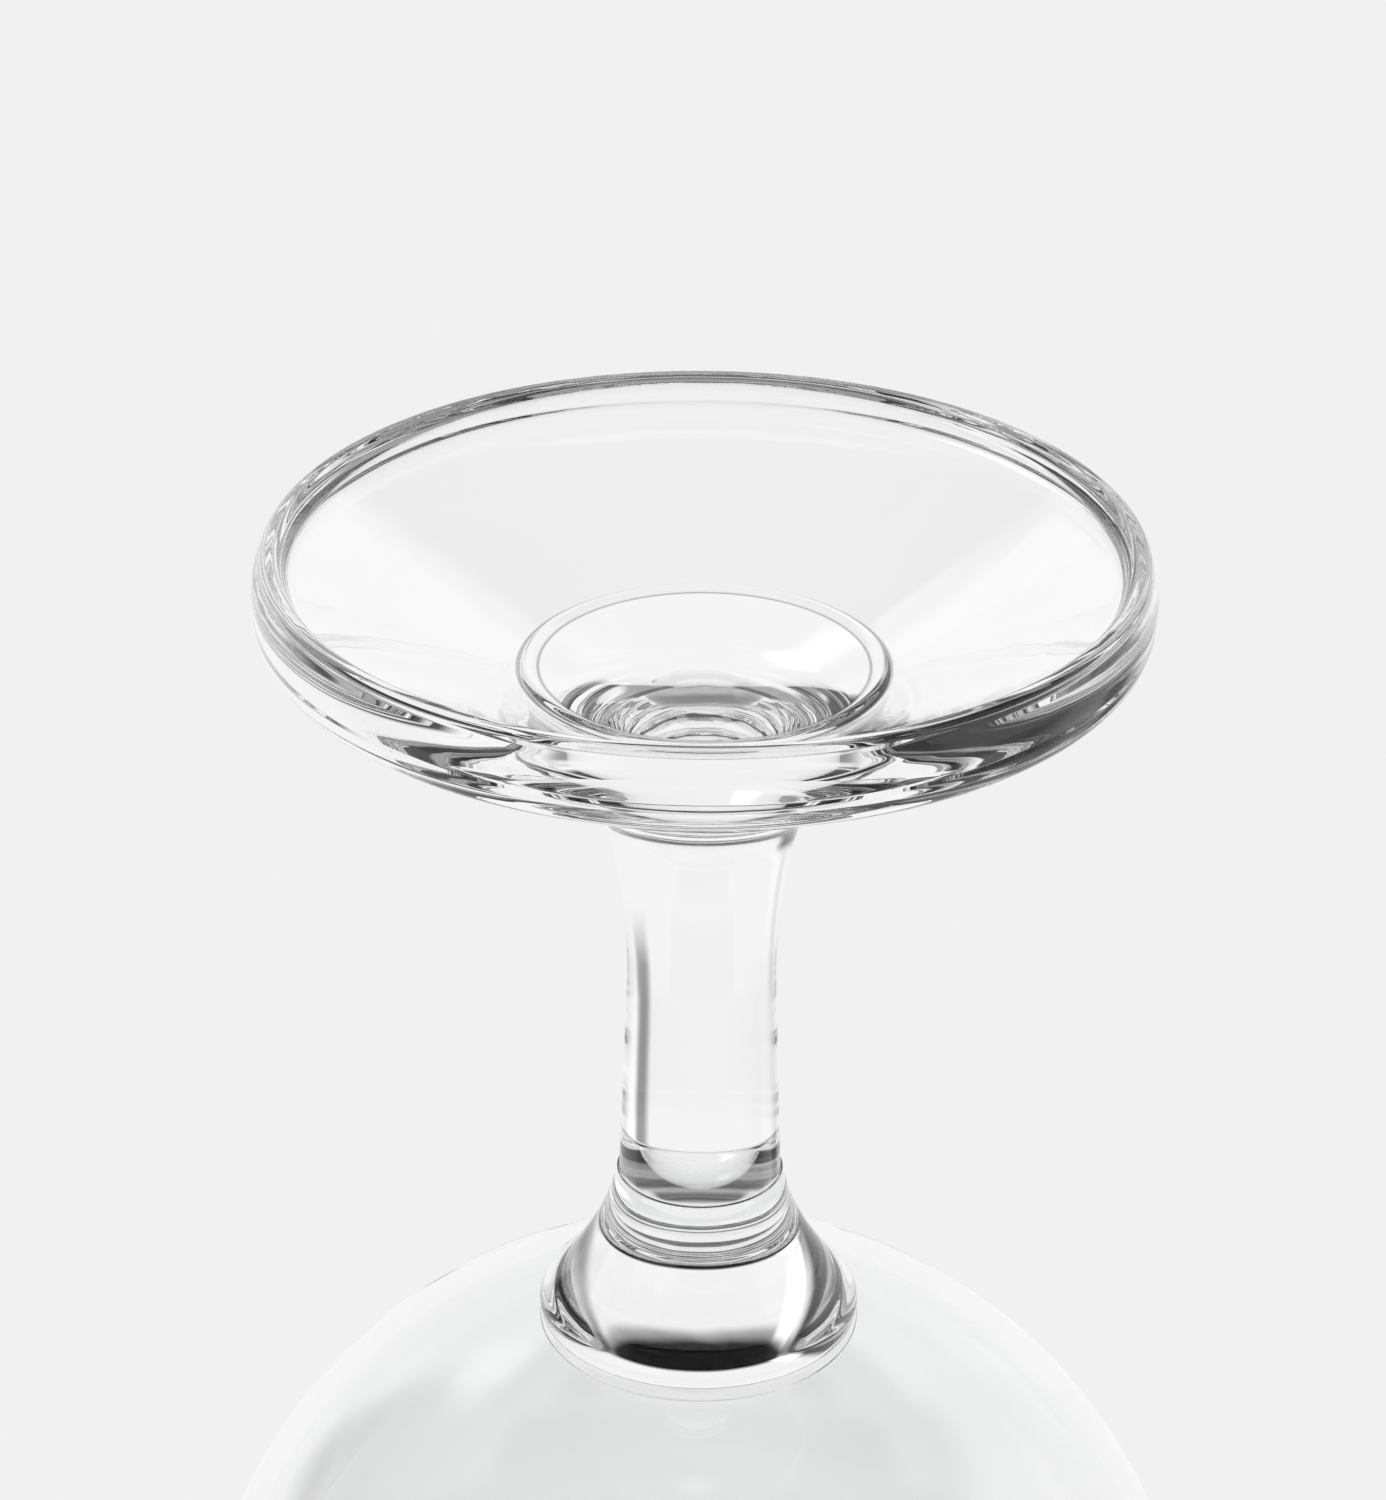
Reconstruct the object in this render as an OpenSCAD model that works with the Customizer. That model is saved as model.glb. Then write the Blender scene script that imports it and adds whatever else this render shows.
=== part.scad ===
// Stemmed liqueur glass in four pieces of clear glass, fused one on the other: a domed foot, a waisted
// stem, a bell-shaped collar and a round bowl. Millimetres. The glass stands on z = 0 and its axis is Z.
// Each piece is turned from half of its section, drawn in the plane of radius and height.

/* [Foot] */
// Largest diameter of the foot
foot_d = 48; // [42:0.5:60]
// Height of the foot's edge, from the table to the top of its shoulder
foot_edge_h = 4.95; // [4:0.05:6]
// Radius of the shoulder on the upper side of the edge
foot_shoulder_r = 1.9; // [0.8:0.1:2]
// Radius of the roll on the lower side of the edge
foot_roll_r = 0.6; // [0.4:0.05:0.8]
// How far the roll lies inside the largest diameter
foot_roll_inset = 0.3; // [0:0.05:0.7]
// Height that is ground off the roll, which leaves the flat ring that the glass stands on
foot_ground = 0.04; // [0.01:0.01:0.1]
// Slope of the foot's upper side, in degrees
foot_slope = 29; // [24:0.5:32]
// Radius of the fillet between the upper side and the stem
foot_fillet_r = 6; // [2:0.25:8]
// Width of the foot's rim, from the largest diameter to the mouth of the hollow
foot_rim_w = 2; // [1.6:0.1:4]
// Height of the hollow's mouth above the table
hollow_mouth_h = 1.1; // [0.8:0.05:1.6]
// Height of the hollow under the foot, at the boss
hollow_h = 7.25; // [6:0.05:8.5]
// Diameter of the boss under the foot, at the middle of its bead
boss_d = 18.8; // [12:0.1:24]
// Radius of the bead round the boss
boss_bead_r = 0.5; // [0.4:0.02:0.8]
// How far the bead's middle stands out of the hollow
boss_bead_rise = 0.1; // [0:0.02:0.4]
// How far the boss's face stands out of the hollow
boss_face_rise = 0.35; // [0.15:0.05:0.55]

/* [Stem] */
// Diameter of the stem at its waist
stem_waist_d = 8.15; // [6.5:0.05:10]
// Height of the waist above the table
stem_waist_h = 25.5; // [22:0.5:30]
// Radius of the sweep from the waist down to the foot
stem_sweep_r = 40; // [25:1:70]
// Diameter of the stem where it meets the collar
stem_top_d = 8.95; // [7:0.05:11]
// Height of the stem's upper end above the table
stem_top_h = 37.8; // [33:0.2:60]

/* [Collar] */
// Diameter of the collar where it sits on the stem
collar_neck_d = 9.2; // [7.5:0.1:12]
// Largest diameter of the collar, at its bead
collar_d = 17.8; // [15:0.1:20]
// Height of the collar
collar_h = 9.4; // [7:0.1:14]
// Radius of the bead
collar_bead_r = 1.1; // [0.8:0.05:1.6]
// Height from the middle of the bead to the bowl
collar_bead_drop = 0.7; // [0.3:0.05:0.75]
// Radius of the bell's flare
collar_flare_r = 14.7; // [10:0.1:30]

/* [Bowl] */
// Largest diameter of the bowl
bowl_d = 58; // [52:0.5:70]
// Height of the bowl above the collar
bowl_h = 40.8; // [37:0.2:48]
// How deep the bowl's round bottom sits in the collar
bowl_sink = 1.54; // [1.2:0.02:2]
// Thickness of the wall
bowl_wall = 1.3; // [0.9:0.05:2]
// Thickness of the bowl's base on the axis
bowl_base_t = 2.2; // [1.8:0.02:5]
// Radius of the sweep from the floor inside the bowl up to its wall
bowl_floor_r = 1.2; // [0.6:0.1:6]

/* [Hidden] */
$fn = 160;
glass = [0.86, 0.91, 0.92, 0.55];
// Room past the outline for the shapes that are cut away
spare = 1;

// Direction in the section at an angle from the radius
function aim(angle) = [cos(angle), sin(angle)];

// Angle of the outward normal of the line that touches two circles on their outer side
function tangent_angle(c1, r1, c2, r2) =
    atan2(c2.y - c1.y, c2.x - c1.x) - acos((r1 - r2) / norm(c2 - c1));

// Outer one of the two points at distance d1 from p1 and d2 from p2
function outer_corner(p1, d1, p2, d2) =
    let (
        gap = norm(p2 - p1),
        along = (p2 - p1) / gap,
        reach = (d1 * d1 - d2 * d2 + gap * gap) / (2 * gap),
        side = sqrt(d1 * d1 - reach * reach)
    )
    p1 + reach * along + side * [along.y, -along.x];

// Foot: the roll, the shoulder of the edge and the mouth of the hollow
roll_c = [foot_d / 2 - foot_roll_inset - foot_roll_r, foot_roll_r - foot_ground];
shoulder_c = [foot_d / 2 - foot_shoulder_r, foot_edge_h - foot_shoulder_r];
edge_angle = tangent_angle(roll_c, foot_roll_r, shoulder_c, foot_shoulder_r);
mouth = [foot_d / 2 - foot_rim_w, hollow_mouth_h];
mouth_angle = tangent_angle(mouth, 0, roll_c, foot_roll_r);
slope_out = aim(90 - foot_slope);
slope_up = [-slope_out.y, slope_out.x];
slope_start = shoulder_c + foot_shoulder_r * slope_out;
boss_r = boss_d / 2;

// Stem: the sweep's centre, and the fillet that touches both the sweep and the foot's upper side
waist_r = stem_waist_d / 2;
sweep_c = [waist_r + stem_sweep_r, stem_waist_h];
fillet_gap = (sweep_c - slope_start) * slope_out - foot_fillet_r;
fillet_run = sqrt(pow(stem_sweep_r - foot_fillet_r, 2) - pow(fillet_gap, 2));
fillet_c = sweep_c - fillet_gap * slope_out + fillet_run * slope_up;
root = sweep_c + (fillet_c - sweep_c) * stem_sweep_r / (stem_sweep_r - foot_fillet_r);

// Collar: the bead's centre, the flare's centre and the point where they touch
seat_h = stem_top_h + collar_h;
neck = [collar_neck_d / 2, stem_top_h];
bead_c = [collar_d / 2 - collar_bead_r, seat_h - collar_bead_drop];
flare_c = outer_corner(neck, collar_flare_r, bead_c, collar_flare_r + collar_bead_r);
bell_end = bead_c + (flare_c - bead_c) * collar_bead_r / (collar_flare_r + collar_bead_r);

// Bowl: its side is a sphere whose bottom sits in the collar. Inside, a sphere with the same centre lies one
// wall closer to it and runs down to the floor's sweep, which touches it
side_r = bowl_d / 2;
bottom_h = seat_h - bowl_sink;
widest_h = bottom_h + side_r;
side_c = [0, widest_h];
inner_r = side_r - bowl_wall;
floor_h = bottom_h + bowl_base_t;
floor_drop = widest_h - floor_h - bowl_floor_r;
floor_c = side_c + [sqrt(pow(inner_r - bowl_floor_r, 2) - pow(floor_drop, 2)), -floor_drop];
floor_end = side_c + (floor_c - side_c) * inner_r / (inner_r - bowl_floor_r);
lip_mid_r = side_r - bowl_wall / 2;
lip_angle = asin((seat_h + bowl_h - widest_h - bowl_wall / 2) / lip_mid_r);
lip_c = side_c + lip_mid_r * aim(lip_angle);

// Solid turned from half of a section
module turned() {
    rotate_extrude() children();
}

module disc(centre, r) {
    translate(centre) circle(r = r);
}

// Rectangle of the section from one corner to the other
module block(low, high) {
    translate(low) square(high - low);
}

module foot_blank() {
    difference() {
        polygon([
            [0, roll_c.y],
            roll_c,
            roll_c + foot_roll_r * aim(edge_angle),
            shoulder_c + foot_shoulder_r * aim(edge_angle),
            slope_start,
            fillet_c - foot_fillet_r * slope_out,
            root,
            [0, root.y]
        ]);
        disc(fillet_c, foot_fillet_r);
    }
    disc(shoulder_c, foot_shoulder_r);
}

module foot_hollow() {
    polygon([
        [0, roll_c.y - spare],
        roll_c - [0, spare],
        roll_c,
        roll_c + foot_roll_r * aim(mouth_angle),
        mouth,
        [boss_r, hollow_h],
        [0, hollow_h]
    ]);
}

module foot_boss() {
    block([0, hollow_h - boss_face_rise], [boss_r, hollow_h]);
    disc([boss_r, hollow_h - boss_bead_rise], boss_bead_r);
}

module foot() {
    color(glass) turned() difference() {
        union() {
            difference() {
                foot_blank();
                foot_hollow();
            }
            disc(roll_c, foot_roll_r);
            foot_boss();
        }
        block([0, -2 * foot_roll_r], [foot_d, 0]);
    }
}

module stem() {
    color(glass) turned() difference() {
        polygon([
            [0, root.y],
            root,
            [waist_r, stem_waist_h],
            [stem_top_d / 2, stem_top_h],
            [0, stem_top_h]
        ]);
        intersection() {
            disc(sweep_c, stem_sweep_r);
            block([0, root.y - spare], [sweep_c.x, stem_waist_h]);
        }
    }
}

module collar_blank() {
    difference() {
        polygon([
            [0, stem_top_h],
            neck,
            bell_end,
            bead_c,
            [bead_c.x, seat_h],
            [0, seat_h]
        ]);
        disc(flare_c, collar_flare_r);
    }
    intersection() {
        disc(bead_c, collar_bead_r);
        block([0, stem_top_h], [collar_d, seat_h]);
    }
}

module collar() {
    color(glass) turned() difference() {
        collar_blank();
        disc(side_c, side_r);
    }
}

module bowl_inside() {
    block([0, floor_h], [floor_c.x, floor_end.y]);
    intersection() {
        disc(floor_c, bowl_floor_r);
        block([floor_c.x, floor_h], floor_end);
    }
    intersection() {
        disc(side_c, inner_r);
        block([0, floor_end.y], [bowl_d, widest_h + side_r]);
    }
}

module bowl() {
    color(glass) turned() {
        difference() {
            intersection() {
                disc(side_c, side_r);
                block([0, bottom_h - spare], [bowl_d, widest_h + side_r]);
            }
            bowl_inside();
            translate(side_c) rotate(lip_angle) block([-2 * side_r, 0], [2 * side_r, 2 * side_r]);
        }
        disc(lip_c, bowl_wall / 2);
    }
}

foot();
stem();
collar();
bowl();
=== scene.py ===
"""Looks of a stemmed liqueur glass: four pieces of clear glass, each turned about the axis of the glass.

Lengths are in metres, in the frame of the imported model: the glass stands on z = 0 and its axis is Z.
A section is an array of (radius, height) points that runs from the axis under a piece, round its outside
and back to the axis above it.
"""

import math
from collections import namedtuple

import bpy
import numpy as np
from mathutils import Matrix, Vector


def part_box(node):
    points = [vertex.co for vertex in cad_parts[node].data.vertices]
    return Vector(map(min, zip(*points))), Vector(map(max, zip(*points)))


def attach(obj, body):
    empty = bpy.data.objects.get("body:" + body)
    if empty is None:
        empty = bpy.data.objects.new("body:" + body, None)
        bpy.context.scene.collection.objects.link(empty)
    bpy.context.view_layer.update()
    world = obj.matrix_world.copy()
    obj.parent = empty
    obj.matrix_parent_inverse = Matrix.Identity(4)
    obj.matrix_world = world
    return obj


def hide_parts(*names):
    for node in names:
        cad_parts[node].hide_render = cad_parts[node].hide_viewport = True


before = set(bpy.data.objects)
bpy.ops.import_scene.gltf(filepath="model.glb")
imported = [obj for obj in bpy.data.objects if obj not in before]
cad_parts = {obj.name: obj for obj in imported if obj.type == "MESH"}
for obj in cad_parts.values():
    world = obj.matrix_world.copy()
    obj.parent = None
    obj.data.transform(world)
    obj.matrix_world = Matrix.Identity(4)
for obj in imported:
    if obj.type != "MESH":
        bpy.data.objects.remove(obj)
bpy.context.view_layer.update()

bl_info = {
    "name": "Liqueur Glass",
    "version": (1, 0, 0),
    "blender": (4, 5, 0),
    "location": "3D View > Sidebar > Glass",
    "description": "Makes a clear stemmed liqueur glass and the pale studio that it stands in",
    "category": "Object",
}

MM = 0.001
FOOT_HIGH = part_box("foot")[1]
STEM_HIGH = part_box("stem")[1]
COLLAR_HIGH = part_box("collar")[1]
BOWL_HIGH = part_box("bowl")[1]

# Points along a section: the spacing before it is softened, then the longest step and the sharpest turn
FINE_STEP = 0.02 * MM
SAME_POINT = FINE_STEP / 100
LONGEST_STEP = 0.9 * MM
SHARPEST_TURN = math.radians(5)
# How many of its own widths the bell curve of the fire polish reaches to each side
BELL_REACH = 4
# Steps round a turned piece and along a round joint
AROUND = 320
JOINT_STEPS = 24
FULL_TURN = 2 * math.pi
# Angle past which two faces meet in a sharp edge
SHARP_EDGE = math.radians(40)
# Numbers of a piece's two materials: its glass, and the faces that are fused to the next piece
GLASS_FACE, JOINT_FACE = 0, 1

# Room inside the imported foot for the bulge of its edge
BULGE_ROOM = 0.15 * MM

# Streaks in the glass: fine detail, swirl, and the values of the noise between which the colour changes
STREAK_DETAIL = 2.0
STREAK_SWIRL = 1.2
STREAK_START = 0.36
STREAK_END = 0.64

# Floor: its corners, how far it lies under the foot, the share of its radius at which it starts to fade,
# the fineness of its grain and the share of the floor's colour that the grain keeps
FLOOR_CORNERS = 64
FLOOR_DROP = 0.02 * MM
FADE_START = 0.25
FLOOR_GRAIN = 400.0
GRAIN_SHADE = 0.99

# Camera: its sensor in millimetres, then the nearest and the farthest that it sees
SENSOR_WIDTH = 36.0
NEAREST_SEEN = 0.01
FARTHEST_SEEN = 10.0

# How often light may bounce before it is given up, in all and in the glass
MOST_BOUNCES = 40
GLASS_BOUNCES = 32

# A card or a light of the studio: its direction round the glass from +Y towards +X, its width, its lower
# and upper edge above the level and the softness of its edges, in degrees, then its brightness. A card
# lies over the ones before it. Left is +X, as the camera sees it upside down, and back is behind the camera.
Card = namedtuple("Card", "name turn width low high softness brightness")
CARDS = (
    Card("room", 180, 200, -90, 90, 8, 0.32),
    Card("lower_room", 180, 270, -90, -50, 5, 0.15),
    Card("back_window", 133, 44, -26, 8, 5, 0.92),
    Card("side_window", -90, 60, -28, 18, 5, 0.95),
    Card("back_sky", 180, 200, 30, 90, 3, 0.85),
    Card("base_edge", 0, 170, -90, -37, 1.5, 0.4),
    Card("black_base", 0, 170, -90, -39.5, 1.5, 0.0),
    Card("left_flag", 92, 86, -44, -19, 5, 0.02),
    Card("edge_flag", 57, 34, -30, 4, 5, 0.02),
    Card("low_flag", -66, 34, -46, -32, 6, 0.03),
    Card("back_flag", 180, 122, -63, -26, 5, 0.03),
    Card("back_beam", 180, 80, 47, 62, 5, 0.12),
    Card("back_rail", 180, 100, 30, 45, 4, 0.06),
    Card("side_flag", -46, 12, 24, 40, 6, 0.3),
    Card("key_light", 37, 11, -39, -27, 2, 1.25),
    Card("side_light", -59, 14, 34, 50, 4, 1.3),
    Card("front_light", 19, 10, 43, 52, 3, 1.2),
)


def length(name, description, default):
    """A length that a user may change, in metres."""
    return bpy.props.FloatProperty(
        name=name, description=description, default=default, min=0.0, unit="LENGTH", precision=5
    )


def angle(name, description, degrees):
    """An angle that a user may change."""
    return bpy.props.FloatProperty(
        name=name, description=description, default=math.radians(degrees), subtype="ANGLE"
    )


def share(name, description, default, high=1.0):
    """A plain number from 0 to a highest value."""
    return bpy.props.FloatProperty(
        name=name, description=description, default=default, min=0.0, max=high, precision=4
    )


def tint(name, description, default):
    """A colour that a user may change."""
    return bpy.props.FloatVectorProperty(
        name=name, description=description, default=default, size=3, min=0.0, max=1.0, subtype="COLOR"
    )


class FootSizes(bpy.types.PropertyGroup):
    """Sizes of the domed foot and of the boss under it."""

    radius: length("Radius", "Radius of the foot at its shoulder", FOOT_HIGH.x - BULGE_ROOM)
    edge_height: length("Edge Height", "Height of the foot's edge", 4.95 * MM)
    shoulder: length("Shoulder", "Radius on the upper side of the edge", 1.9 * MM)
    roll: length("Roll", "Radius of the roll on the lower side of the edge", 0.6 * MM)
    roll_inset: length("Roll Inset", "How far the roll lies inside the largest radius", 0.3 * MM)
    ground: length("Ground", "Height that is ground off the roll", 0.04 * MM)
    slope: angle("Slope", "Slope of the upper side", 29)
    fillet: length("Fillet", "Radius of the fillet between the upper side and the stem", 6 * MM)
    bulge: length("Bulge", "How far the edge bulges out between its roll and its shoulder", 0.2 * MM)
    mouth_radius: length("Mouth Radius", "Radius of the hollow's mouth", 22 * MM)
    mouth_height: length("Mouth Height", "Height of the hollow's mouth above the table", 1.1 * MM)
    hollow_height: length("Hollow Height", "Height of the hollow at the boss", 7.25 * MM)
    boss_radius: length("Boss Radius", "Radius of the boss at the middle of its bead", 9.4 * MM)
    bead: length("Bead", "Radius of the bead round the boss", 0.5 * MM)
    bead_rise: length("Bead Rise", "How far the bead's middle stands out of the hollow", 0.1 * MM)
    face_rise: length("Face Rise", "How far the boss's face stands out of the hollow", 0.35 * MM)
    # The two fine dark circles beside the bead are painted shade of its creases: their gap from the bead's
    # middle, their fade and their top
    crease_shade_gap: length("Seam Gap", "Distance of the two fine seams from the middle of the bead", 0.55 * MM)
    crease_shade_reach: length("Seam Reach", "Distance from the middle of a seam at which it has faded", 0.16 * MM)
    crease_shade_top: length("Seam Top", "Height above which there are no seams", 8 * MM)


class StemSizes(bpy.types.PropertyGroup):
    """Sizes of the waisted stem."""

    waist_radius: length("Waist Radius", "Radius of the stem at its waist", 4.075 * MM)
    waist_height: length("Waist Height", "Height of the waist above the table", 25.5 * MM)
    sweep: length("Sweep", "Radius of the sweep from the waist down to the foot", 40 * MM)
    top_radius: length("Top Radius", "Radius of the stem where it meets the collar", 4.475 * MM)
    top_height: length("Top Height", "Height of the stem's upper end", STEM_HIGH.z)


class CollarSizes(bpy.types.PropertyGroup):
    """Sizes of the bell-shaped collar."""

    radius: length("Radius", "Largest radius of the collar, at its bead", COLLAR_HIGH.x)
    neck_radius: length("Neck Radius", "Radius of the collar where it sits on the stem", 4.6 * MM)
    bead: length("Bead", "Radius of the bead", 1.1 * MM)
    bead_drop: length("Bead Drop", "Height from the middle of the bead to the bowl", 0.7 * MM)
    flare: length("Flare", "Radius of the bell's flare", 14.7 * MM)
    seat_height: length("Seat Height", "Height of the collar's upper end", COLLAR_HIGH.z)


class BowlSizes(bpy.types.PropertyGroup):
    """Sizes of the round bowl."""

    radius: length("Radius", "Largest radius of the bowl", min(BOWL_HIGH.x, BOWL_HIGH.y))
    rim_height: length("Rim Height", "Height of the bowl's lip", BOWL_HIGH.z)
    sink: length("Sink", "How deep the round bottom sits in the collar", 1.54 * MM)
    wall: length("Wall", "Thickness of the wall", 1.3 * MM)
    mark_radius: length("Mark Radius", "Radius of the round mark inside the bowl's bottom", 8.6 * MM)
    mark_step: length("Mark Step", "How far the glass inside the round mark stands up", 0.06 * MM)
    base: length("Base", "Thickness of the base", 2.2 * MM)
    floor_sweep: length("Floor Sweep", "Radius between the floor inside the bowl and its wall", 1.2 * MM)


class GlassFinish(bpy.types.PropertyGroup):
    """Finish of the glass."""

    softness: length("Softness", "How far the fire polish rounds each crease", 0.05 * MM)
    ior: share("Index", "Refractive index of the glass", 1.5, 3.0)
    clear: tint("Clear", "Colour of the glass where it is clearest", (1.0, 1.0, 1.0))
    faint: tint("Faint", "Colour of the faint streaks in the glass", (0.985, 0.987, 0.987))
    blown: tint("Blown", "Colour of the blown glass where it is clearest", (0.96, 0.963, 0.963))
    blown_faint: tint("Blown Faint", "Colour of the streaks in the blown glass", (0.938, 0.942, 0.942))
    # Painted shade: colour of the two fine dark circles that stand for the shaded creases beside the boss's
    # bead
    seam: tint("Seam", "Colour of the fine seams along the bead of the boss", (0.2, 0.21, 0.21))
    roughness: share("Roughness", "Roughness of the glass where it is least glossy", 0.012)
    ripple: length("Ripple", "Depth of the slow ripple in the pressed glass", 0.03 * MM)
    blown_ripple: length("Blown Ripple", "Depth of the slow ripple in the blown glass", 0.03 * MM)
    streaks: share("Streaks", "Streaks in a metre of the pressed glass", 90.0, 1000.0)
    blown_streaks: share("Blown Streaks", "Streaks in a metre of the blown glass", 60.0, 1000.0)


class StageLook(bpy.types.PropertyGroup):
    """Background, floor, light and camera."""

    background: tint("Background", "Colour of the background", (0.88, 0.88, 0.88))
    surroundings: tint("Surroundings", "Colour of the studio that the glass shows", (0.95, 0.95, 0.95))
    floor_colour: tint("Floor Colour", "Colour of the floor", (0.86, 0.86, 0.86))
    floor_radius: length("Floor Radius", "Radius at which the floor has faded out", 0.6)
    camera_distance: length("Camera Distance", "Level distance of the camera from the axis", 0.288)
    camera_depth: length("Camera Depth", "How far the camera is below the table", 0.1361)
    camera_side: length("Camera Side", "How far the camera is off the axis", 0.00057)
    camera_pitch: angle("Camera Pitch", "How far the camera looks up", 27.21)
    camera_roll: angle("Camera Roll", "Turn of the camera about its own axis", 180.47)
    focal_length: share("Focal Length", "Focal length in millimetres on a 36 mm sensor", 145.3, 500.0)


class GlassSettings(bpy.types.PropertyGroup):
    """Everything that the glass and its stage are made from."""

    foot: bpy.props.PointerProperty(type=FootSizes)
    stem: bpy.props.PointerProperty(type=StemSizes)
    collar: bpy.props.PointerProperty(type=CollarSizes)
    bowl: bpy.props.PointerProperty(type=BowlSizes)
    finish: bpy.props.PointerProperty(type=GlassFinish)
    stage: bpy.props.PointerProperty(type=StageLook)


def arc(centre, radius, start, end):
    """Points on a circle about centre, whose angle from the level runs evenly from start to end."""
    count = max(3, math.ceil(abs(end - start) * radius / FINE_STEP))
    turn = np.linspace(start, end, count)
    return np.asarray(centre) + radius * np.column_stack((np.cos(turn), np.sin(turn)))


def straight(start, end):
    """Points spaced evenly on the line from start to end."""
    start, end = np.asarray(start, float), np.asarray(end, float)
    count = max(2, math.ceil(np.linalg.norm(end - start) / FINE_STEP))
    return start + np.linspace(0, 1, count)[:, None] * (end - start)


def bulged(start, end, bulge):
    """Points from start to end on a parabola, which stands out to the right of that way.

    It stands out by 4 times bulge times the share of the way that is done and the share that is left, so by
    bulge at its middle.
    """
    points = straight(start, end)
    way = points[-1] - points[0]
    out = np.array((way[1], -way[0])) / np.linalg.norm(way)
    done = np.linspace(0, 1, len(points))[:, None]
    return points + 4 * bulge * done * (1 - done) * out


def chain(*runs):
    """Runs of points joined end to end, without the points that repeat the one before."""
    points = np.concatenate(runs)
    steps = np.linalg.norm(np.diff(points, axis=0), axis=1)
    return points[np.concatenate(([True], steps > SAME_POINT))]


def travelled(points):
    """Distance along the points from the first one."""
    return np.concatenate(([0.0], np.cumsum(np.linalg.norm(np.diff(points, axis=0), axis=1))))


def resampled(points, where, wanted):
    """The points interpolated at the wanted values of where, which grows along them."""
    return np.column_stack([np.interp(wanted, where, column) for column in points.T])


def fire_polished(points, softness):
    """The points averaged with a bell curve of the given width along the line, which rounds each crease.

    The line is first carried on past each end by its own half turn about that end, so the ends stay put.
    """
    distance = travelled(points)
    even = np.linspace(0, distance[-1], math.ceil(distance[-1] / FINE_STEP))
    line = resampled(points, distance, even)
    reach = math.ceil(BELL_REACH * softness / FINE_STEP)
    before = 2 * line[0] - line[reach:0:-1]
    after = 2 * line[-1] - line[-2:-reach - 2:-1]
    bell = np.exp(-0.5 * (np.arange(-reach, reach + 1) * FINE_STEP / softness) ** 2)
    bell /= bell.sum()
    longer = np.concatenate((before, line, after))
    return np.column_stack([np.convolve(column, bell, mode="valid") for column in longer.T])


def thinned(points):
    """The fewest points of the line that keep to the longest step and the sharpest turn.

    The need for points grows with the distance and with the turn, and the points are even in that need.
    """
    distance = travelled(points)
    way = np.diff(points, axis=0)
    heading = np.unwrap(np.arctan2(way[:, 1], way[:, 0]))
    turned = np.concatenate(([0.0], np.cumsum(np.abs(np.diff(heading))), [0.0]))
    turned[-1] = turned[-2]
    need = distance / LONGEST_STEP + turned / SHARPEST_TURN
    return resampled(points, need, np.linspace(0, need[-1], math.ceil(need[-1]) + 1))


def turned_piece(name, runs, materials):
    """A closed mesh turned about Z from runs of a section, each with the number of its material.

    The point at step i of the section and step j of the turn is
    (radius_i cos a_j, radius_i sin a_j, height_i) with a_j even round the circle.
    The first and the last point of the section are on the axis, where a fan of triangles closes the mesh.
    """
    section = np.concatenate([runs[0][0]] + [points[1:] for points, _ in runs[1:]])
    finish = np.concatenate([np.full(len(points) - 1, number) for points, number in runs])
    turn = np.linspace(0, FULL_TURN, AROUND, endpoint=False)
    rings = section[1:-1]
    radius, height = rings.T
    across = np.outer(radius, np.cos(turn))
    along = np.outer(radius, np.sin(turn))
    up = np.outer(height, np.ones(AROUND))
    places = np.stack((across, along, up), axis=-1).reshape(-1, 3)
    poles = np.array([(0, 0, section[0, 1]), (0, 0, section[-1, 1])])
    low_pole, high_pole = len(places), len(places) + 1
    here = np.arange(len(places)).reshape(len(rings), AROUND)
    beside = np.roll(here, -1, axis=1)
    quads = np.stack((here[:-1], beside[:-1], beside[1:], here[1:]), axis=-1).reshape(-1, 4)
    low_fan = np.column_stack((np.full(AROUND, low_pole), beside[0], here[0]))
    high_fan = np.column_stack((here[-1], beside[-1], np.full(AROUND, high_pole)))
    mesh = bpy.data.meshes.new(name)
    mesh.from_pydata(
        np.concatenate((places, poles)).tolist(), [], low_fan.tolist() + quads.tolist() + high_fan.tolist()
    )
    mesh.polygons.foreach_set("material_index", np.repeat(finish, AROUND).astype(np.int32))
    mesh.polygons.foreach_set("use_smooth", np.ones(len(mesh.polygons), bool))
    mesh.set_sharp_from_angle(angle=SHARP_EDGE)
    for material in materials:
        mesh.materials.append(material)
    mesh.update()
    piece = bpy.data.objects.new(name, mesh)
    bpy.context.scene.collection.objects.link(piece)
    return piece


def unit(turn):
    """Direction in the section at an angle from the level."""
    return np.array((math.cos(turn), math.sin(turn)))


def heading_of(vector):
    """Angle of a direction in the section from the level."""
    return math.atan2(vector[1], vector[0])


def fillet_and_root(foot, stem):
    """Centre of the fillet over the foot, and the point where the fillet runs on into the stem's sweep.

    The fillet touches the foot's upper side and the sweep, so its centre is one fillet radius above the
    one and one sweep radius less one fillet radius from the centre of the other.
    """
    out = unit(math.pi / 2 - foot.slope)
    along = np.array((-out[1], out[0]))
    shoulder = np.array((foot.radius - foot.shoulder, foot.edge_height - foot.shoulder))
    sweep_centre = np.array((stem.waist_radius + stem.sweep, stem.waist_height))
    gap = (sweep_centre - shoulder) @ out - foot.shoulder - foot.fillet
    apart = stem.sweep - foot.fillet
    centre = sweep_centre - gap * out + math.sqrt(apart**2 - gap**2) * along
    return centre, sweep_centre + (centre - sweep_centre) * stem.sweep / apart


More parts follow.
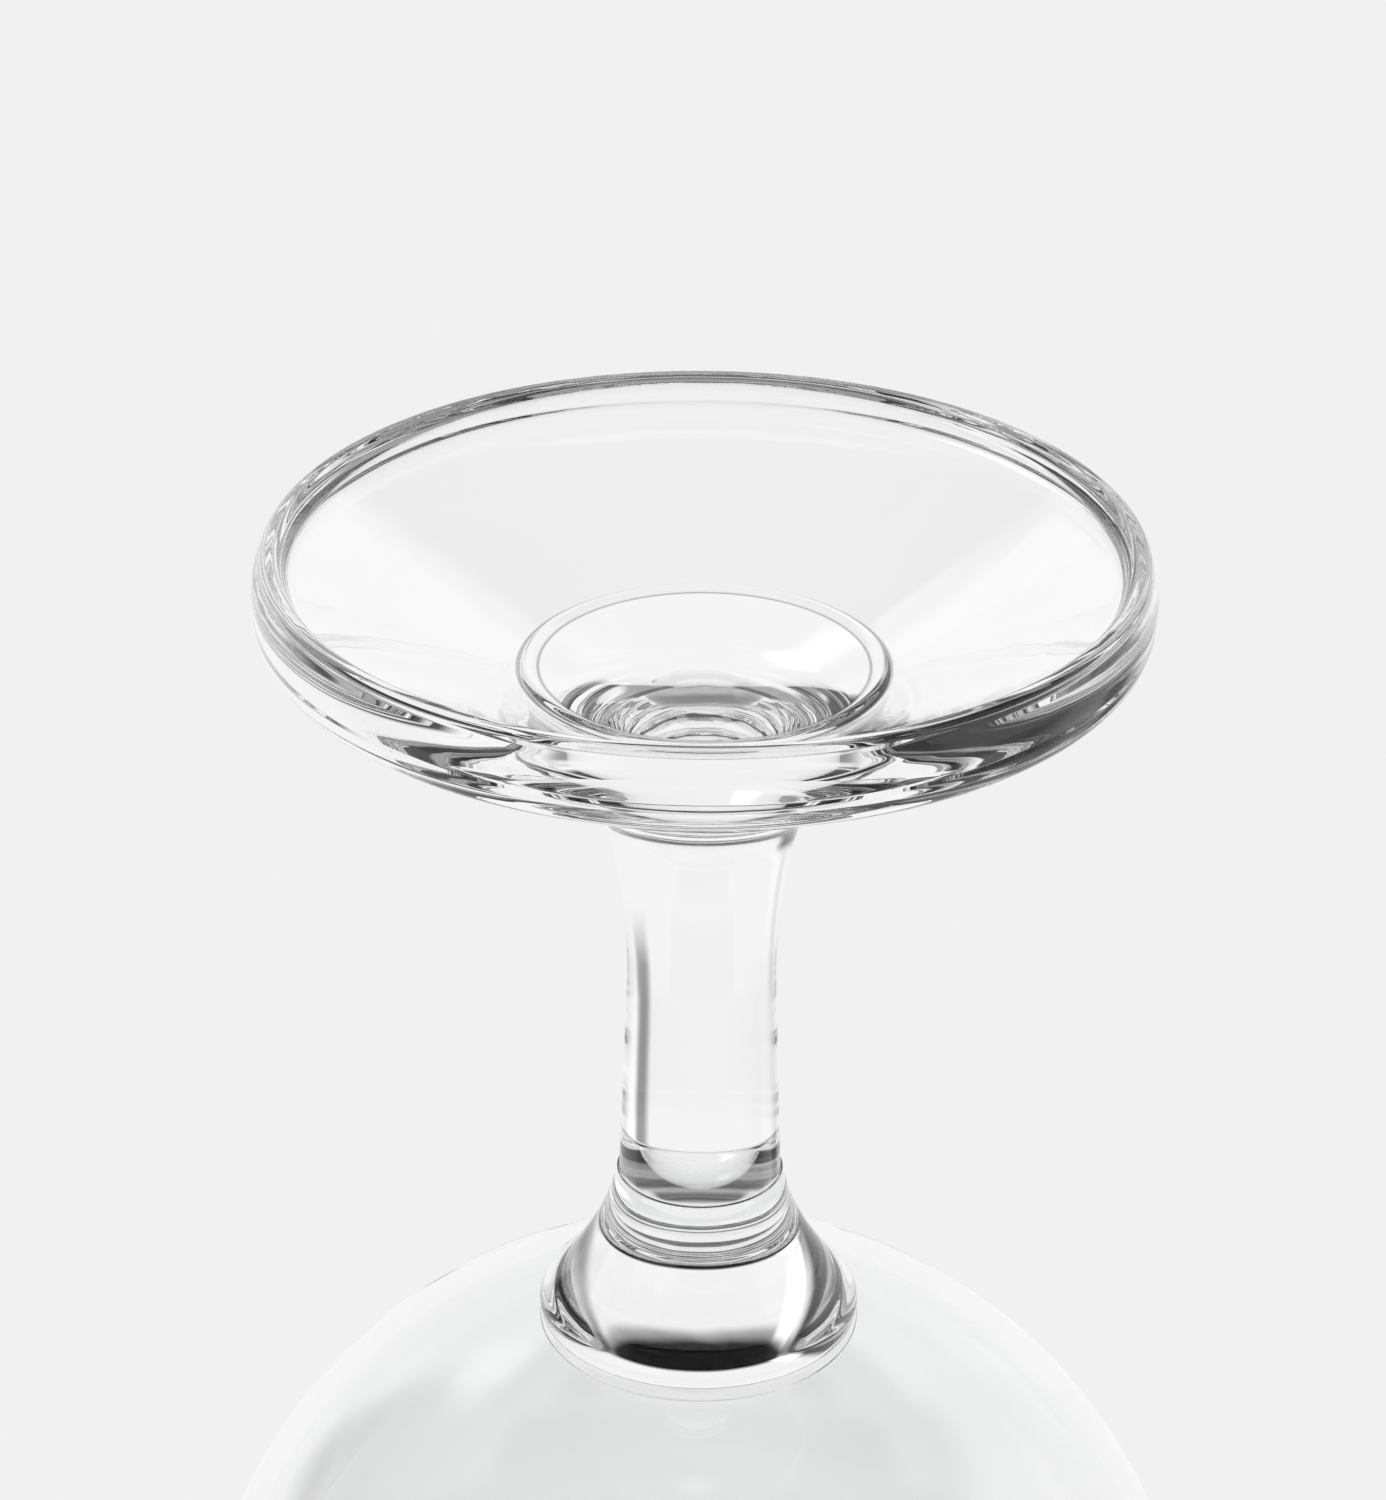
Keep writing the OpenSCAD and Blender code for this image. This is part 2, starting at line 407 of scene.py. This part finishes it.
def foot_section(foot, stem):
    """Glass faces of the foot: boss, bead, hollow, roll, edge, shoulder, upper side and fillet.

    Bead, roll, shoulder and fillet are arcs. The edge touches the roll and the shoulder, the upper side
    touches the shoulder and the fillet, and the chamfer from the hollow's mouth touches the roll.
    """
    face = foot.hollow_height - foot.face_rise
    bead = np.array((foot.boss_radius, foot.hollow_height - foot.bead_rise))
    inner_end = np.array((-math.sqrt(foot.bead**2 - (face - bead[1]) ** 2), face - bead[1]))
    roll = np.array((foot.radius - foot.roll_inset - foot.roll, foot.roll - foot.ground))
    mouth = np.array((foot.mouth_radius, foot.mouth_height))
    inward = mouth - roll
    chamfer = heading_of(inward) + math.acos(foot.roll / np.linalg.norm(inward))
    fall = mouth - (foot.boss_radius, foot.hollow_height)
    fall /= np.linalg.norm(fall)
    start = np.array((0, foot.bead_rise))
    reach = -start @ fall + math.sqrt((start @ fall) ** 2 - start @ start + foot.bead**2)
    outer_end = start + reach * fall
    shoulder = np.array((foot.radius - foot.shoulder, foot.edge_height - foot.shoulder))
    gap = shoulder - roll
    edge = heading_of(gap) - math.acos((foot.roll - foot.shoulder) / np.linalg.norm(gap))
    rest = math.asin(roll[1] / foot.roll)
    top = math.pi / 2 - foot.slope
    fillet, root = fillet_and_root(foot, stem)
    low = roll + foot.roll * unit(edge)
    high = shoulder + foot.shoulder * unit(edge)
    return chain(
        straight((0, face), bead + inner_end),
        arc(bead, foot.bead, heading_of(inner_end), heading_of(outer_end)),
        straight(bead + outer_end, mouth),
        straight(mouth, roll + foot.roll * unit(chamfer)),
        arc(roll, foot.roll, chamfer - FULL_TURN, rest - math.pi),
        arc(roll, foot.roll, -rest, edge),
        bulged(low, high, foot.bulge),
        arc(shoulder, foot.shoulder, edge, top),
        arc(fillet, foot.fillet, top - math.pi, heading_of(root - fillet) % FULL_TURN - FULL_TURN),
    )


def stem_section(foot, stem):
    """Glass face of the stem: the sweep up to the waist, then the straight taper to the collar."""
    root = fillet_and_root(foot, stem)[1]
    centre = np.array((stem.waist_radius + stem.sweep, stem.waist_height))
    waist = np.array((stem.waist_radius, stem.waist_height))
    return chain(
        arc(centre, stem.sweep, heading_of(root - centre) % FULL_TURN, math.pi),
        straight(waist, (stem.top_radius, stem.top_height)),
    )


def bowl_centre(bowl, collar):
    """Centre of the sphere that the bowl's side follows, on the axis."""
    return np.array((0, collar.seat_height - bowl.sink + bowl.radius))


def collar_section(collar, stem, bowl):
    """Glass faces of the collar: its flare, and its bead up to the sphere of the bowl.

    The flare's centre is one flare radius from the neck and one flare and one bead radius from the bead's
    centre, so the two arcs touch.
    """
    neck = np.array((collar.neck_radius, stem.top_height))
    bead = np.array((collar.radius - collar.bead, collar.seat_height - collar.bead_drop))
    gap = bead - neck
    span = np.linalg.norm(gap)
    along = gap / span
    reach = (collar.flare**2 - (collar.flare + collar.bead) ** 2 + span**2) / (2 * span)
    side = math.sqrt(collar.flare**2 - reach**2)
    flare = neck + reach * along + side * np.array((along[1], -along[0]))
    up = bowl_centre(bowl, collar) - bead
    apart = np.linalg.norm(up)
    off = math.acos((apart**2 + collar.bead**2 - bowl.radius**2) / (2 * apart * collar.bead))
    return chain(
        arc(flare, collar.flare, heading_of(neck - flare), heading_of(bead - flare)),
        arc(bead, collar.bead, heading_of(flare - bead), heading_of(up) - off),
    )


def bowl_section(bowl, collar, seat):
    """Glass faces of the bowl from its seat on the collar: side, lip, inner wall and floor.

    Side and inner wall are spheres about one centre, one wall apart, and the lip is half a circle between
    them. Inside the round mark the wall is one step thicker, and a sweep takes it into the flat floor.
    """
    centre = bowl_centre(bowl, collar)
    inner = bowl.radius - bowl.wall
    raised = inner - bowl.mark_step
    mark_turn = -math.acos(bowl.mark_radius / inner)
    lip = bowl.wall / 2
    lip_turn = math.asin((bowl.rim_height - centre[1] - lip) / (bowl.radius - lip))
    lip_centre = centre + (bowl.radius - lip) * unit(lip_turn)
    floor = centre[1] - bowl.radius + bowl.base
    drop = centre[1] - floor - bowl.floor_sweep
    sweep = centre + (math.sqrt((raised - bowl.floor_sweep) ** 2 - drop**2), -drop)
    low = heading_of(sweep - centre)
    return chain(
        arc(centre, bowl.radius, heading_of(seat - centre), lip_turn),
        arc(lip_centre, lip, lip_turn, lip_turn + math.pi),
        arc(centre, inner, lip_turn, mark_turn),
        arc(centre, raised, mark_turn, low),
        arc(sweep, bowl.floor_sweep, low, -math.pi / 2),
        straight((sweep[0], floor), (0, floor)),
    )


def outside(glass):
    """Glass faces of the whole glass, rounded at every crease and thinned, with one run for each piece.

    The runs of foot, stem, collar and bowl are rounded as one line, so the seams between them are soft too.
    """
    foot = foot_section(glass.foot, glass.stem)
    stem = stem_section(glass.foot, glass.stem)
    collar = collar_section(glass.collar, glass.stem, glass.bowl)
    bowl = bowl_section(glass.bowl, glass.collar, collar[-1])
    pieces = (foot, stem, chain(straight(stem[-1], collar[0]), collar), bowl)
    whole = chain(*pieces)
    ends = np.cumsum([travelled(piece)[-1] for piece in pieces])
    line = fire_polished(whole, glass.finish.softness)
    cuts = np.rint(ends / ends[-1] * (len(line) - 1)).astype(int)
    starts = np.concatenate(([0], cuts[:-1]))
    return [(thinned(line[start:cut + 1]), GLASS_FACE) for start, cut in zip(starts, cuts)]


def flat_joint(point):
    """A flat face from a seam to the axis, fused to the next piece."""
    return np.array((point, (0, point[1]))), JOINT_FACE


def round_joint(seam, centre, radius):
    """The part of the bowl's sphere from the seam with the collar to the axis, where both are fused."""
    turn = np.linspace(heading_of(seam - centre), -math.pi / 2, JOINT_STEPS)
    points = centre + radius * np.column_stack((np.cos(turn), np.sin(turn)))
    points[0] = seam
    points[-1, 0] = 0
    return points, JOINT_FACE


def backwards(run):
    """A run from its end to its start."""
    points, finish = run
    return points[::-1], finish


def node(tree, kind, **values):
    """A new node of a kind, with its properties set."""
    made = tree.nodes.new(kind)
    for name, value in values.items():
        setattr(made, name, value)
    return made


def soft_step(tree, value, start, end):
    """A factor that goes smoothly from 0, where a value is start, to 1, where it is end."""
    step = node(tree, "ShaderNodeMapRange", interpolation_type="SMOOTHSTEP")
    step.inputs["From Min"].default_value = start
    step.inputs["From Max"].default_value = end
    tree.links.new(value, step.inputs["Value"])
    return step.outputs["Result"]


def product(tree, first, second):
    """Two factors multiplied."""
    both = node(tree, "ShaderNodeMath", operation="MULTIPLY")
    tree.links.new(first, both.inputs[0])
    tree.links.new(second, both.inputs[1])
    return both.outputs["Value"]


def levelled(tree, place):
    """A place or a direction with its height taken out."""
    flat = node(tree, "ShaderNodeVectorMath", operation="MULTIPLY")
    flat.inputs[1].default_value = (1.0, 1.0, 0.0)
    tree.links.new(place, flat.inputs[0])
    return flat.outputs["Vector"]


def distance_apart(tree, value, middle):
    """How far a value is from a middle, without its sign."""
    less = node(tree, "ShaderNodeMath", operation="SUBTRACT")
    less.inputs[1].default_value = middle
    size = node(tree, "ShaderNodeMath", operation="ABSOLUTE")
    tree.links.new(value, less.inputs[0])
    tree.links.new(less.outputs["Value"], size.inputs[0])
    return size.outputs["Value"]


def paint_crease_shade(material, foot, crease_shade_colour):
    """Paints shade on the glass in two fine dark circles, one on each side of the bead round the boss.

    The circles stand for the shade in the creases at the foot of the bead, which the mesh is too soft to
    show. A point's distance from the bead's circle is how far its own distance from the axis is from the
    boss's radius, and its distance from the nearer circle is how far that is from the circles' gap.
    radius, and its distance from the nearer seam is how far that is from the seams' gap.
    """
    tree = material.node_tree
    link = tree.links.new
    place = node(tree, "ShaderNodeTexCoord").outputs["Object"]
    height = node(tree, "ShaderNodeSeparateXYZ")
    radius = node(tree, "ShaderNodeVectorMath", operation="LENGTH")
    link(place, height.inputs["Vector"])
    link(levelled(tree, place), radius.inputs[0])
    from_bead = distance_apart(tree, radius.outputs["Value"], foot.boss_radius)
    near = soft_step(tree, distance_apart(tree, from_bead, foot.crease_shade_gap), foot.crease_shade_reach, 0.0)
    below = node(tree, "ShaderNodeMath", operation="LESS_THAN")
    below.inputs[1].default_value = foot.crease_shade_top
    link(height.outputs["Z"], below.inputs[0])
    # Painted shade: a dark colour mixed into the glass's colour on the two fine circles beside the bead
    colour = node(tree, "ShaderNodeMix", data_type="RGBA")
    colour.inputs["B"].default_value = (*crease_shade_colour, 1.0)
    link(product(tree, near, below.outputs["Value"]), colour.inputs["Factor"])
    base = tree.nodes["Principled BSDF"].inputs["Base Color"]
    link(base.links[0].from_socket, colour.inputs["A"])
    link(colour.outputs["Result"], base)


def clear_glass(name, finish, colours, streak_scale, ripple):
    """Clear glass with faint streaks of colour, slight changes of gloss and a slow ripple."""
    material = bpy.data.materials.new(name)
    material.use_nodes = True
    tree = material.node_tree
    link = tree.links.new
    glass = tree.nodes["Principled BSDF"]
    glass.inputs["Transmission Weight"].default_value = 1.0
    glass.inputs["IOR"].default_value = finish.ior
    place = node(tree, "ShaderNodeTexCoord")
    streaks = node(tree, "ShaderNodeTexNoise")
    streaks.inputs["Scale"].default_value = streak_scale
    streaks.inputs["Detail"].default_value = STREAK_DETAIL
    streaks.inputs["Distortion"].default_value = STREAK_SWIRL
    link(place.outputs["Object"], streaks.inputs["Vector"])
    colour = node(tree, "ShaderNodeMix", data_type="RGBA")
    colour.inputs["A"].default_value = (*colours[0], 1.0)
    colour.inputs["B"].default_value = (*colours[1], 1.0)
    link(soft_step(tree, streaks.outputs["Fac"], STREAK_START, STREAK_END), colour.inputs["Factor"])
    gloss = node(tree, "ShaderNodeMapRange")
    gloss.inputs["To Min"].default_value = 0.0
    gloss.inputs["To Max"].default_value = finish.roughness
    link(streaks.outputs["Fac"], gloss.inputs["Value"])
    bump = node(tree, "ShaderNodeBump")
    bump.inputs["Strength"].default_value = 1.0
    bump.inputs["Distance"].default_value = ripple
    link(streaks.outputs["Fac"], bump.inputs["Height"])
    link(colour.outputs["Result"], glass.inputs["Base Color"])
    link(gloss.outputs["Result"], glass.inputs["Roughness"])
    link(bump.outputs["Normal"], glass.inputs["Normal"])
    return material


def fused_joint():
    """The face between two fused pieces, which light passes as if it weren't there."""
    material = bpy.data.materials.get("fused_joint")
    if material is None:
        material = bpy.data.materials.new("fused_joint")
        material.use_nodes = True
        tree = material.node_tree
        tree.nodes.remove(tree.nodes["Principled BSDF"])
        pass_by = node(tree, "ShaderNodeBsdfTransparent")
        tree.links.new(pass_by.outputs["BSDF"], tree.nodes["Material Output"].inputs["Surface"])
    return material


def pressed_glass(finish, foot):
    """Glass of the foot, stem and collar, with painted shade in the creases beside the boss's bead."""
    made = bpy.data.materials.get("clear_pressed_glass")
    if made is None:
        colours = (finish.clear, finish.faint)
        made = clear_glass("clear_pressed_glass", finish, colours, finish.streaks, finish.ripple)
        # Painted shade along the creases beside the bead of the boss
        paint_crease_shade(made, foot, finish.seam)
    return made


def blown_glass(finish):
    """Glass of the bowl."""
    made = bpy.data.materials.get("clear_blown_glass")
    if made is None:
        colours = (finish.blown, finish.blown_faint)
        made = clear_glass("clear_blown_glass", finish, colours, finish.blown_streaks, finish.blown_ripple)
    return made


def fit_to_frame(piece, cad_node):
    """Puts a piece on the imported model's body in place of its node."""
    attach(piece, "root")
    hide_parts(cad_node)


class GLASS_OT_foot(bpy.types.Operator):
    """Make the domed foot"""

    bl_idname = "glass.foot"
    bl_label = "Foot"

    def execute(self, context):
        glass = context.scene.liqueur_glass
        side = outside(glass)[0]
        runs = [side, flat_joint(side[0][-1])]
        piece = turned_piece("foot_piece", runs, [pressed_glass(glass.finish, glass.foot), fused_joint()])
        fit_to_frame(piece, "foot")
        return {"FINISHED"}


class GLASS_OT_stem(bpy.types.Operator):
    """Make the waisted stem"""

    bl_idname = "glass.stem"
    bl_label = "Stem"

    def execute(self, context):
        glass = context.scene.liqueur_glass
        side = outside(glass)[1]
        runs = [backwards(flat_joint(side[0][0])), side, flat_joint(side[0][-1])]
        piece = turned_piece("stem_piece", runs, [pressed_glass(glass.finish, glass.foot), fused_joint()])
        fit_to_frame(piece, "stem")
        return {"FINISHED"}


class GLASS_OT_collar(bpy.types.Operator):
    """Make the bell-shaped collar"""

    bl_idname = "glass.collar"
    bl_label = "Collar"

    def execute(self, context):
        glass = context.scene.liqueur_glass
        side = outside(glass)[2]
        seat = round_joint(side[0][-1], bowl_centre(glass.bowl, glass.collar), glass.bowl.radius)
        runs = [backwards(flat_joint(side[0][0])), side, seat]
        piece = turned_piece("collar_piece", runs, [pressed_glass(glass.finish, glass.foot), fused_joint()])
        fit_to_frame(piece, "collar")
        return {"FINISHED"}


class GLASS_OT_bowl(bpy.types.Operator):
    """Make the round bowl"""

    bl_idname = "glass.bowl"
    bl_label = "Bowl"

    def execute(self, context):
        glass = context.scene.liqueur_glass
        side = outside(glass)[3]
        seat = round_joint(side[0][0], bowl_centre(glass.bowl, glass.collar), glass.bowl.radius)
        runs = [backwards(seat), side]
        piece = turned_piece("bowl_piece", runs, [blown_glass(glass.finish), fused_joint()])
        fit_to_frame(piece, "bowl")
        return {"FINISHED"}


def floor_material(stage):
    """Pale floor that fades out with distance and is seen from above only."""
    material = bpy.data.materials.new("pale_floor")
    material.use_nodes = True
    tree = material.node_tree
    tree.nodes.remove(tree.nodes["Principled BSDF"])
    link = tree.links.new
    place = node(tree, "ShaderNodeTexCoord").outputs["Object"]
    distance = node(tree, "ShaderNodeVectorMath", operation="LENGTH")
    link(place, distance.inputs[0])
    side = node(tree, "ShaderNodeNewGeometry")
    hidden = node(tree, "ShaderNodeMath", operation="MAXIMUM")
    fade_start = stage.floor_radius * FADE_START
    link(soft_step(tree, distance.outputs["Value"], fade_start, stage.floor_radius), hidden.inputs[0])
    link(side.outputs["Backfacing"], hidden.inputs[1])
    grain = node(tree, "ShaderNodeTexNoise")
    grain.inputs["Scale"].default_value = FLOOR_GRAIN
    link(place, grain.inputs["Vector"])
    colour = node(tree, "ShaderNodeMix", data_type="RGBA")
    colour.inputs["A"].default_value = (*stage.floor_colour, 1.0)
    colour.inputs["B"].default_value = (*(GRAIN_SHADE * Vector(stage.floor_colour)), 1.0)
    link(grain.outputs["Fac"], colour.inputs["Factor"])
    matt = node(tree, "ShaderNodeBsdfDiffuse")
    clear = node(tree, "ShaderNodeBsdfTransparent")
    mix = node(tree, "ShaderNodeMixShader")
    link(colour.outputs["Result"], matt.inputs["Color"])
    link(hidden.outputs["Value"], mix.inputs["Fac"])
    link(matt.outputs["BSDF"], mix.inputs[1])
    link(clear.outputs["BSDF"], mix.inputs[2])
    link(mix.outputs["Shader"], tree.nodes["Material Output"].inputs["Surface"])
    return material


def make_floor(stage):
    """Round floor just under the foot, facing up."""
    turn = np.linspace(0, FULL_TURN, FLOOR_CORNERS, endpoint=False)
    across = stage.floor_radius * np.cos(turn)
    along = stage.floor_radius * np.sin(turn)
    rim = np.column_stack((across, along, np.full(FLOOR_CORNERS, -FLOOR_DROP)))
    mesh = bpy.data.meshes.new("floor")
    mesh.from_pydata(rim.tolist(), [], [list(range(FLOOR_CORNERS))])
    mesh.materials.append(floor_material(stage))
    floor = bpy.data.objects.new("floor", mesh)
    bpy.context.scene.collection.objects.link(floor)
    floor.visible_glossy = False
    floor.visible_transmission = False


def card_shape(tree, card, level, height):
    """A factor that is 1 on a card of the studio, from the level direction and the height of a ray.

    Across the card it follows the cosine of the angle between the ray and the card's middle, and upright it
    follows the sine of the ray's angle above the level, each with soft edges.
    """
    turn = math.radians(card.turn)
    facing = node(tree, "ShaderNodeVectorMath", operation="DOT_PRODUCT")
    facing.inputs[1].default_value = (math.sin(turn), math.cos(turn), 0.0)
    tree.links.new(level, facing.inputs[0])
    half = card.width / 2
    outer = math.cos(math.radians(min(half + card.softness, 180)))
    inner = math.cos(math.radians(max(half - card.softness, 0)))
    across = soft_step(tree, facing.outputs["Value"], outer, inner)
    under = math.sin(math.radians(max(card.low - card.softness, -90)))
    bottom = math.sin(math.radians(card.low + card.softness))
    over = math.sin(math.radians(min(card.high + card.softness, 90)))
    top = math.sin(math.radians(card.high - card.softness))
    upright = product(tree, soft_step(tree, height, under, bottom), soft_step(tree, height, over, top))
    return product(tree, across, upright)


def make_world(stage):
    """Pale surroundings, in which the glass also sees the cards and lights of the studio."""
    world = bpy.data.worlds.new("studio")
    bpy.context.scene.world = world
    world.use_nodes = True
    tree = world.node_tree
    link = tree.links.new
    ray_way = node(tree, "ShaderNodeTexCoord").outputs["Generated"]
    height = node(tree, "ShaderNodeSeparateXYZ")
    level = node(tree, "ShaderNodeVectorMath", operation="NORMALIZE")
    link(ray_way, height.inputs["Vector"])
    link(levelled(tree, ray_way), level.inputs[0])
    seen = None
    for card in CARDS:
        mix = node(tree, "ShaderNodeMix", data_type="RGBA", label=card.name)
        mix.inputs["A"].default_value = (*stage.surroundings, 1.0)
        mix.inputs["B"].default_value = (card.brightness, card.brightness, card.brightness, 1.0)
        link(card_shape(tree, card, level.outputs["Vector"], height.outputs["Z"]), mix.inputs["Factor"])
        if seen:
            link(seen, mix.inputs["A"])
        seen = mix.outputs["Result"]
    ray = node(tree, "ShaderNodeLightPath")
    glassy = node(tree, "ShaderNodeMath", operation="MAXIMUM")
    link(ray.outputs["Is Glossy Ray"], glassy.inputs[0])
    link(ray.outputs["Is Transmission Ray"], glassy.inputs[1])
    shown = node(tree, "ShaderNodeMix", data_type="RGBA")
    shown.inputs["A"].default_value = (*stage.background, 1.0)
    link(glassy.outputs["Value"], shown.inputs["Factor"])
    link(seen, shown.inputs["B"])
    light = tree.nodes["Background"]
    light.inputs["Strength"].default_value = 1.0
    link(shown.outputs["Result"], light.inputs["Color"])


def make_camera(stage):
    """Camera below the table, looking up at the hollow of the foot, and turned over."""
    lens = bpy.data.cameras.new("camera")
    lens.lens = stage.focal_length
    lens.sensor_width = SENSOR_WIDTH
    lens.clip_start = NEAREST_SEEN
    lens.clip_end = FARTHEST_SEEN
    camera = bpy.data.objects.new("camera", lens)
    bpy.context.scene.collection.objects.link(camera)
    place = Matrix.Translation((stage.camera_side, -stage.camera_distance, -stage.camera_depth))
    upright = Matrix.Rotation(math.pi / 2 + stage.camera_pitch, 4, "X")
    camera.matrix_world = place @ upright @ Matrix.Rotation(stage.camera_roll, 4, "Z")
    bpy.context.scene.camera = camera


class GLASS_OT_stage(bpy.types.Operator):
    """Make the floor, the light and the camera"""

    bl_idname = "glass.stage"
    bl_label = "Stage"

    def execute(self, context):
        stage = context.scene.liqueur_glass.stage
        scene = context.scene
        scene.view_settings.view_transform = "Standard"
        scene.cycles.max_bounces = MOST_BOUNCES
        scene.cycles.transmission_bounces = GLASS_BOUNCES
        scene.cycles.glossy_bounces = GLASS_BOUNCES
        scene.cycles.transparent_max_bounces = GLASS_BOUNCES
        make_floor(stage)
        make_world(stage)
        make_camera(stage)
        return {"FINISHED"}


class GLASS_PT_sidebar(bpy.types.Panel):
    """Steps that make the glass, in order."""

    bl_idname = "GLASS_PT_sidebar"
    bl_label = "Liqueur Glass"
    bl_space_type = "VIEW_3D"
    bl_region_type = "UI"
    bl_category = "Glass"

    def draw(self, context):
        for operator in OPERATORS:
            self.layout.operator(operator.bl_idname)


OPERATORS = (GLASS_OT_foot, GLASS_OT_stem, GLASS_OT_collar, GLASS_OT_bowl, GLASS_OT_stage)
CLASSES = (
    FootSizes,
    StemSizes,
    CollarSizes,
    BowlSizes,
    GlassFinish,
    StageLook,
    GlassSettings,
    *OPERATORS,
    GLASS_PT_sidebar,
)


def register():
    for kind in CLASSES:
        bpy.utils.register_class(kind)
    bpy.types.Scene.liqueur_glass = bpy.props.PointerProperty(type=GlassSettings)


def unregister():
    del bpy.types.Scene.liqueur_glass
    for kind in reversed(CLASSES):
        bpy.utils.unregister_class(kind)


def main():
    register()
    bpy.ops.glass.stage()
    bpy.ops.glass.foot()
    bpy.ops.glass.stem()
    bpy.ops.glass.collar()
    bpy.ops.glass.bowl()


if __name__ == "__main__":
    main()
